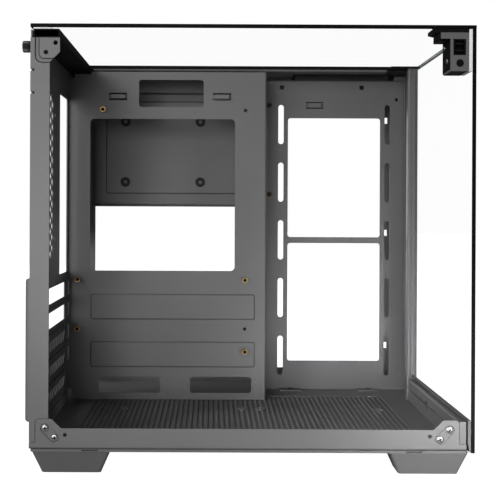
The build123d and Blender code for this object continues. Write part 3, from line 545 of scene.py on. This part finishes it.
def replaced(name, node, shape, places, finish, inside=thread_shade):
    """Copies of one shape that take the place of a node."""
    made = piece(name, joined(name, shape, places), finish)
    made.data.materials.append(inside)
    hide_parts(node)


def make_corner_screws():
    """Cross-head screws in pairs, on both sides."""
    places = [
        turned_to((x, side * corner_screw_foot, z), (0, side, 0))
        for x, z in corner_screw_places
        for side in (-1, 1)
    ]
    shape = screw_mesh(*corner_screw)
    replaced("corner_screw_heads", "corner_screws", shape, places, plated_steel)


def make_thumb_screws():
    """Knurled screws in the rear wall with a rounded end."""
    shape = lathe(thumb_screw_outline, thumb_screw_steps, thumb_screw_ripple)
    places = [
        turned_to((thumb_screw_foot, side, thumb_screw_height), (-1, 0, 0))
        for side in thumb_screw_sides
    ]
    replaced("knurled_screws", "thumb_screws", shape, places, blackened_steel)


def make_standoffs():
    """Six-sided pillars on their stubs, with a countersunk bore in the upper end."""
    pillar = lathe(standoff_outline, standoff_sides)
    shape = shade_inside(cut_from(pillar, lathe(standoff_bore)), *standoff_shade)
    places = [turned_to((x, y + standoff_tall, z), (0, -1, 0)) for x, y, z in standoff_places]
    replaced("brass_standoffs", "standoffs", shape, places, turned_brass)


def make_grommets():
    """Rubber rings closed by a thin skin with a small tip."""
    shape = shade_inside(lathe(grommet_outline), *grommet_shade)
    places = [turned_to(place, (0, -1, 0)) for place in grommet_places]
    replaced("closed_grommets", "drive_grommets", shape, places, rubber, rubber_skin)


def make_small_screws():
    """The other cross-head screws, one mesh for each node."""
    bracket = [turned_to(place, (0, -1, 0)) for place in bracket_screw_places]
    bracket += [turned_to(place, (0, 0, 1)) for place in bracket_foot_places]
    drive = [turned_to(place, (0, -1, 0)) for place in drive_screw_places]
    block = [turned_to(place, (-1, 0, 0)) for place in block_screw_places]
    slot = [turned_to(place, (0, -1, 0)) for place in slot_screw_places]
    for node, places, finish, sizes in (
        ("bracket_screws", bracket, dull_brass, bracket_screw),
        ("drive_screws", drive, plated_steel, drive_screw),
        ("block_screws", block, plated_steel, block_screw),
        ("slot_cover_screws", slot, plated_steel, slot_screw),
    ):
        replaced("cross_head_" + node, node, screw_mesh(*sizes), places, finish)


def plain_block(name, low, high, finish, slot):
    """A thin block between two corners."""
    mesh = finished(name, box_shape(Vector(low), Vector(high)))
    piece(name, mesh, finish)


def ribbon(name, points, wide, depth, finish):
    """A flat strip in X and Z along a path, at one depth."""
    shape = bmesh.new()
    rows = []
    for index, point in enumerate(points):
        before = points[max(index - 1, 0)]
        after = points[min(index + 1, len(points) - 1)]
        along = (after - before).normalized()
        aside = Vector((-along.y, along.x)) * wide / 2
        rows.append([
            shape.verts.new((place.x, depth, place.y)) for place in (point - aside, point + aside)
        ])
    for (a, b), (c, d) in zip(rows, rows[1:]):
        shape.faces.new((a, b, d, c))
    solid = bmesh.ops.extrude_face_region(shape, geom=list(shape.faces))["geom"]
    moved = [part for part in solid if isinstance(part, bmesh.types.BMVert)]
    bmesh.ops.translate(shape, vec=(0, wide / ribbon_flatness, 0), verts=moved)
    bmesh.ops.recalc_face_normals(shape, faces=shape.faces)
    piece(name, finished(name, shape), finish)


def make_step_lines():
    """Shadow lines where the corner plate steps up from the column, with rounded corners."""
    turns = [pi + pi / 2 * step / arc_steps for step in range(arc_steps + 1)]
    for number, (rear, foot, front, rounding) in enumerate(step_lines, 1):
        centre = Vector((rear + rounding, foot + rounding))
        arc = [centre + Vector((cos(turn), sin(turn))) * rounding for turn in turns]
        points = [Vector((rear, step_line_top)), *arc, Vector((front, foot))]
        name = "step_line_" + str(number)
        ribbon(name, points, step_line_wide, step_line_depth, thread_shade)


def make_dark_backings():
    """A dust filter under the roof's vents whose black is painted shade, painted shadow for the slits
    at a strap, painted shade on the corner block's sides, and a plug in its bore and a back behind a
    hole in the tray, both deep black as painted shade inside the holes."""
    plain_block("roof_filter_shade", *roof_filter_shade_box, deep_black, "filter")
    # Painted shadow in the strap's slits and painted shade on the corner block's sides
    for stem, boxes in (("tie_slit_shadow_", tie_slit_shadow_boxes), ("block_shade_", block_shade_boxes)):
        for number, box in enumerate(boxes, 1):
            plain_block(stem + str(number), *box, deep_black, "black_plastic")
    # Deep black plugs as painted shade inside the block's bore and behind the tray's hole
    for name, outline, steps, place in (
        ("block_hole_shade", plug_outline, turned_steps, block_hole),
        ("tray_hole_shade", back_outline, back_steps, blind_hole),
    ):
        mesh = joined(name, lathe(outline, steps), [turned_to(place, (0, 1, 0))])
        piece(name, mesh, deep_black)


glass_pane("glass_top", "top_glass", (1, 0, 0))
glass_pane("glass_front", "front_glass", (0, 0, 1))
make_corner_screws()
make_thumb_screws()
make_standoffs()
make_grommets()
make_small_screws()
make_dark_backings()
make_step_lines()


# Floor, light and camera

def make_floor():
    """A round of paper that is white to the camera and gives little light."""
    bpy.ops.mesh.primitive_circle_add(
        vertices=floor_sides, radius=floor_radius, fill_type="NGON", location=(0, 0, 0)
    )
    ground = bpy.context.object
    ground.name = "studio_floor"
    made, tree, shade = shader("floor_paper")
    cloud = object_noise(tree, floor_clouds)
    paper = tinted(tree, cloud, floor_white, scaled(floor_white, floor_lighter))
    tree.links.new(paper, shade.inputs["Base Color"])
    shade.inputs["Roughness"].default_value = floor_roughness
    shade.inputs["Emission Color"].default_value = white
    path = add(tree, "ShaderNodeLightPath")
    glow = between(tree, path.outputs["Is Camera Ray"], floor_light, floor_glow)
    tree.links.new(glow, shade.inputs["Emission Strength"])
    ground.data.materials.append(made)


def make_world():
    """White where the camera sees it, through glass too, and dim as a light."""
    world = bpy.data.worlds.new("studio")
    bpy.context.scene.world = world
    world.use_nodes = True
    tree = world.node_tree
    background = tree.nodes["Background"]
    background.inputs["Color"].default_value = white
    path = add(tree, "ShaderNodeLightPath")
    seen = add(tree, "ShaderNodeMath", operation="MAXIMUM")
    tree.links.new(path.outputs["Is Camera Ray"], seen.inputs[0])
    tree.links.new(path.outputs["Is Transmission Ray"], seen.inputs[1])
    strength = between(tree, seen.outputs["Value"], world_light, world_seen)
    tree.links.new(strength, background.inputs["Strength"])


def make_lamp(name, place, target, size, power, spread):
    """A rectangular soft lamp that looks at its target."""
    lamp = bpy.data.lights.new(name, "AREA")
    lamp.spread = radians(spread)
    lamp.shape = "RECTANGLE"
    lamp.size, lamp.size_y = size
    lamp.energy = power
    made = bpy.data.objects.new(name, lamp)
    bpy.context.scene.collection.objects.link(made)
    made.location = place
    towards = Vector(target) - Vector(place)
    made.rotation_euler = towards.to_track_quat("-Z", "Y").to_euler()


def make_camera():
    """The camera, level and shifted to the photograph's framing."""
    lens = bpy.data.cameras.new("camera")
    lens.sensor_fit = "HORIZONTAL"
    lens.sensor_width = camera_sensor
    lens.lens = camera_lens
    lens.shift_x, lens.shift_y = camera_shift
    made = bpy.data.objects.new("camera", lens)
    bpy.context.scene.collection.objects.link(made)
    made.location = camera_place
    made.rotation_euler = (radians(camera_level), camera_roll, 0)
    bpy.context.scene.camera = made


make_floor()
make_world()
for lamp in lamps:
    make_lamp(*lamp)
make_camera()
bpy.context.scene.view_settings.view_transform = "Standard"
